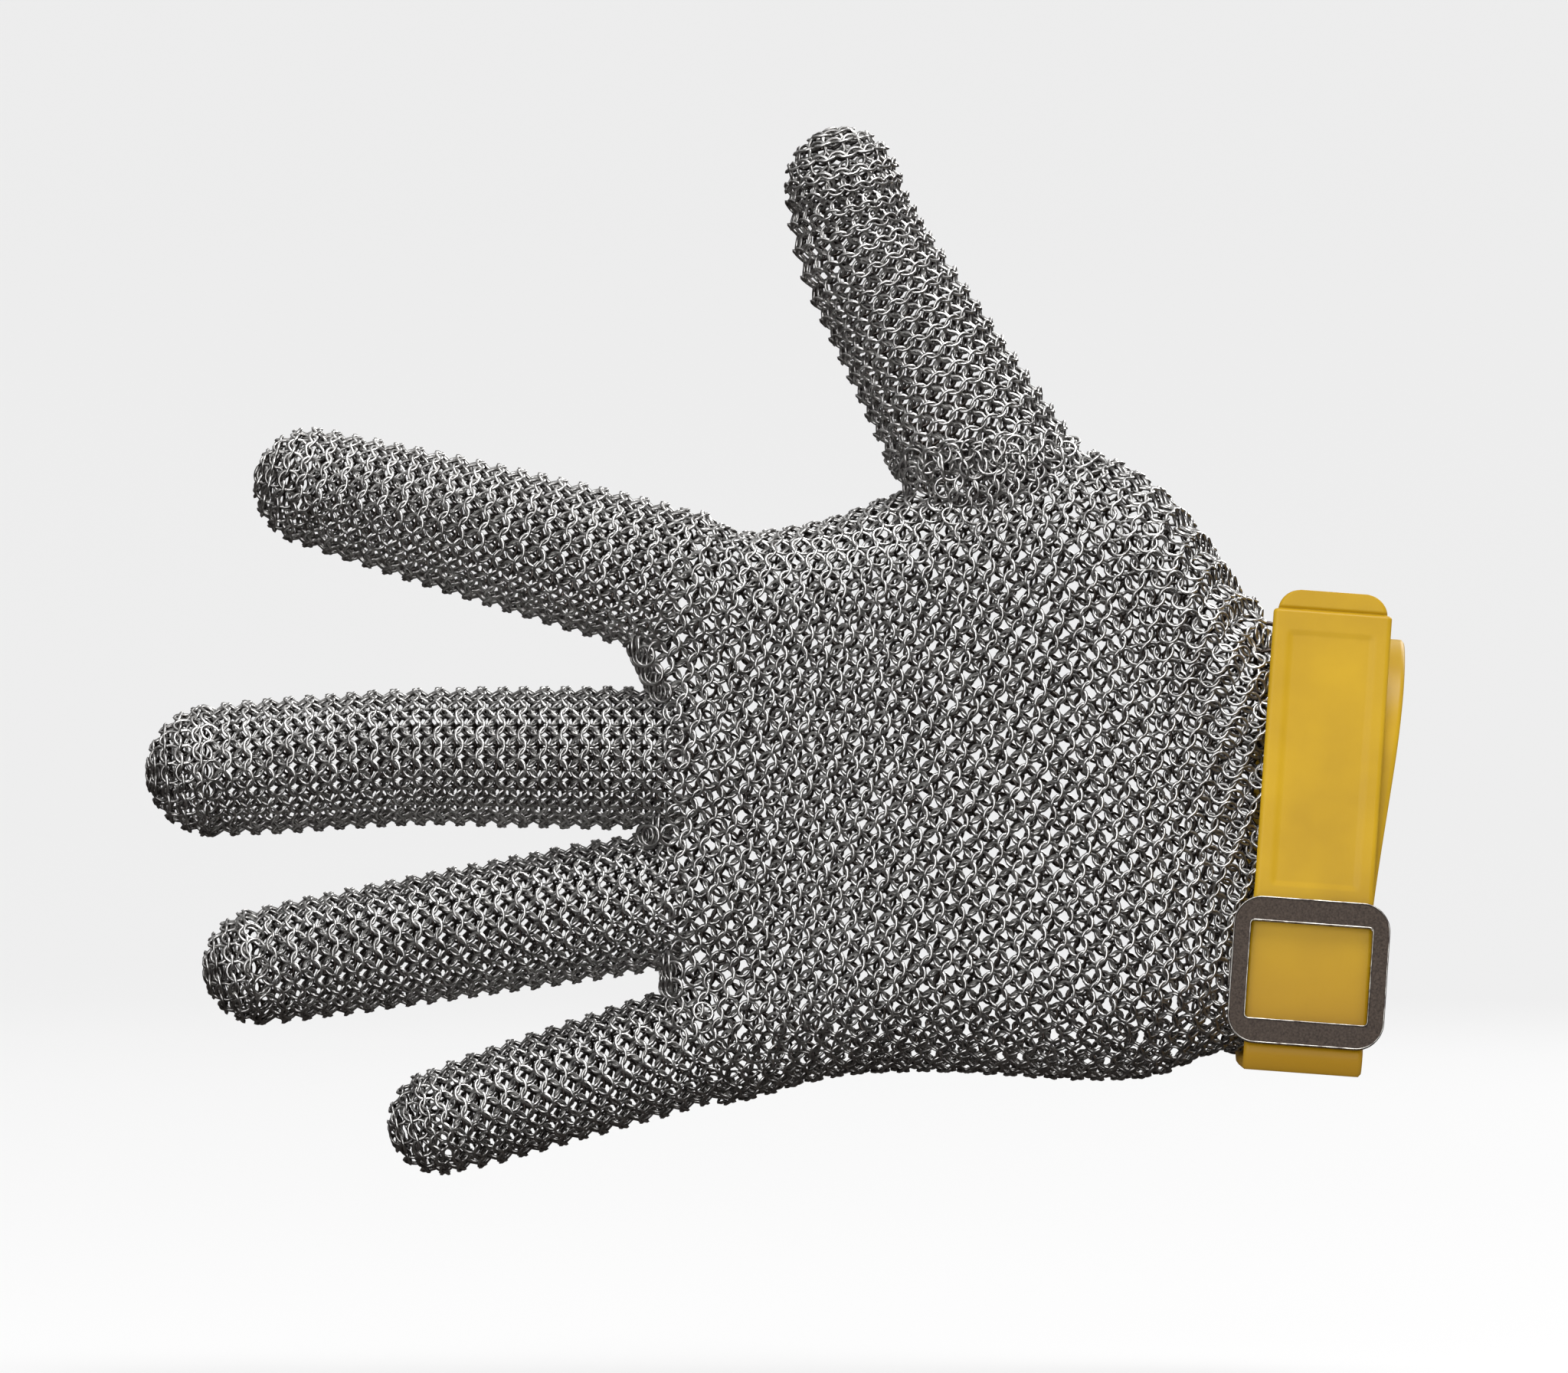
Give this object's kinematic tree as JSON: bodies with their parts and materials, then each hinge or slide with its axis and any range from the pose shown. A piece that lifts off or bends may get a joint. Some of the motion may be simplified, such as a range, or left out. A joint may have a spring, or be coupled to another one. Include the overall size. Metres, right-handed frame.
{
  "type": "cut resistant glove",
  "caption": "Five-finger glove of steel ring mesh for the left hand, with jointed fingers, a moulded wrist strap and a steel slide buckle.",
  "frame": {"origin": "centre of the mesh's open end at the wrist, where the hand goes in", "axes": "-X along the hand towards the fingertips, +Z towards the thumb side, -Y out of the back of the hand"},
  "size_m": [0.2281, 0.0586, 0.1927],
  "materials": {
    "ring_mesh": "bright stainless steel rings",
    "strap": "satin moulded polyurethane",
    "buckle_steel": "stamped and tumbled, dark satin",
    "link_steel": "bright wire"
  },
  "bodies": {
    "hand": {"palm_mesh": "ring_mesh", "cuff_mesh": "ring_mesh", "thumb_base_mesh": "ring_mesh", "strap_band": "strap", "strap_link_rings": "link_steel"},
    "index_root": {"index_root_mesh": "ring_mesh"},
    "index_middle": {"index_middle_mesh": "ring_mesh"},
    "index_tip": {"index_tip_mesh": "ring_mesh"},
    "middle_root": {"middle_root_mesh": "ring_mesh"},
    "middle_middle": {"middle_middle_mesh": "ring_mesh"},
    "middle_tip": {"middle_tip_mesh": "ring_mesh"},
    "ring_root": {"ring_root_mesh": "ring_mesh"},
    "ring_middle": {"ring_middle_mesh": "ring_mesh"},
    "ring_tip": {"ring_tip_mesh": "ring_mesh"},
    "little_root": {"little_root_mesh": "ring_mesh"},
    "little_middle": {"little_middle_mesh": "ring_mesh"},
    "little_tip": {"little_tip_mesh": "ring_mesh"},
    "thumb_root": {"thumb_root_mesh": "ring_mesh"},
    "thumb_tip": {"thumb_tip_mesh": "ring_mesh"},
    "buckle": {"buckle": "buckle_steel"},
    "strap_tongue": {"strap_tongue": "strap"}
  },
  "joints": [
    {"name": "index_root_bend", "type": "hinge", "parent": "hand", "child": "index_root", "pos_m": [-0.138, 0, 0.0532], "axis": [-0.2554, 0, -0.9668], "range_deg": [0, 60]},
    {"name": "index_middle_bend", "type": "hinge", "parent": "index_root", "child": "index_middle", "pos_m": [-0.16314, 0, 0.05984], "axis": [-0.2554, 0, -0.9668], "range_deg": [0, 72]},
    {"name": "index_tip_bend", "type": "hinge", "parent": "index_middle", "child": "index_tip", "pos_m": [-0.18441, 0, 0.06546], "axis": [-0.2554, 0, -0.9668], "range_deg": [0, 48]},
    {"name": "middle_root_bend", "type": "hinge", "parent": "hand", "child": "middle_root", "pos_m": [-0.141, 0, 0.0179], "axis": [-0.0087, 0, -1], "range_deg": [0, 60]},
    {"name": "middle_middle_bend", "type": "hinge", "parent": "middle_root", "child": "middle_middle", "pos_m": [-0.174, 0, 0.01819], "axis": [0.0305, 0, -0.9995], "range_deg": [0, 72]},
    {"name": "middle_tip_bend", "type": "hinge", "parent": "middle_middle", "child": "middle_tip", "pos_m": [-0.20093, 0, 0.01631], "axis": [0.0698, 0, -0.9976], "range_deg": [0, 48]},
    {"name": "ring_root_bend", "type": "hinge", "parent": "hand", "child": "ring_root", "pos_m": [-0.14, 0, -0.01], "axis": [0.165, 0, -0.9863], "range_deg": [0, 60]},
    {"name": "ring_middle_bend", "type": "hinge", "parent": "ring_root", "child": "ring_middle", "pos_m": [-0.16762, 0, -0.01462], "axis": [0.165, 0, -0.9863], "range_deg": [0, 72]},
    {"name": "ring_tip_bend", "type": "hinge", "parent": "ring_middle", "child": "ring_tip", "pos_m": [-0.19227, 0, -0.01875], "axis": [0.165, 0, -0.9863], "range_deg": [0, 48]},
    {"name": "little_root_bend", "type": "hinge", "parent": "hand", "child": "little_root", "pos_m": [-0.1285, 0, -0.0365], "axis": [0.2924, 0, -0.9563], "range_deg": [0, 60]},
    {"name": "little_middle_bend", "type": "hinge", "parent": "little_root", "child": "little_middle", "pos_m": [-0.14524, 0, -0.04162], "axis": [0.2924, 0, -0.9563], "range_deg": [0, 72]},
    {"name": "little_tip_bend", "type": "hinge", "parent": "little_middle", "child": "little_tip", "pos_m": [-0.16149, 0, -0.04659], "axis": [0.2924, 0, -0.9563], "range_deg": [0, 48]},
    {"name": "thumb_root_bend", "type": "hinge", "parent": "hand", "child": "thumb_root", "pos_m": [-0.0758, 0, 0.0832], "axis": [-0.866, 0, -0.5], "range_deg": [0, 40]},
    {"name": "thumb_tip_bend", "type": "hinge", "parent": "thumb_root", "child": "thumb_tip", "pos_m": [-0.0928, 0, 0.11264], "axis": [-0.9295, 0, -0.3689], "range_deg": [0, 60]},
    {"name": "buckle_tilt", "type": "hinge", "parent": "hand", "child": "buckle", "pos_m": [-0.01103, -0.0246, -0.02185], "axis": [0.9973, 0, -0.0732], "range_deg": [0, 8]},
    {"name": "strap_slide", "type": "slide", "parent": "buckle", "child": "strap_tongue", "axis": [0.0727, 0.1228, 0.9898], "range_m": [0, 0.015]}
  ],
  "couplings": [
    {"joint": "index_tip_bend", "follows": "index_middle_bend", "ratio": 0.66667},
    {"joint": "middle_tip_bend", "follows": "middle_middle_bend", "ratio": 0.66667},
    {"joint": "ring_tip_bend", "follows": "ring_middle_bend", "ratio": 0.66667},
    {"joint": "little_tip_bend", "follows": "little_middle_bend", "ratio": 0.66667}
  ]
}
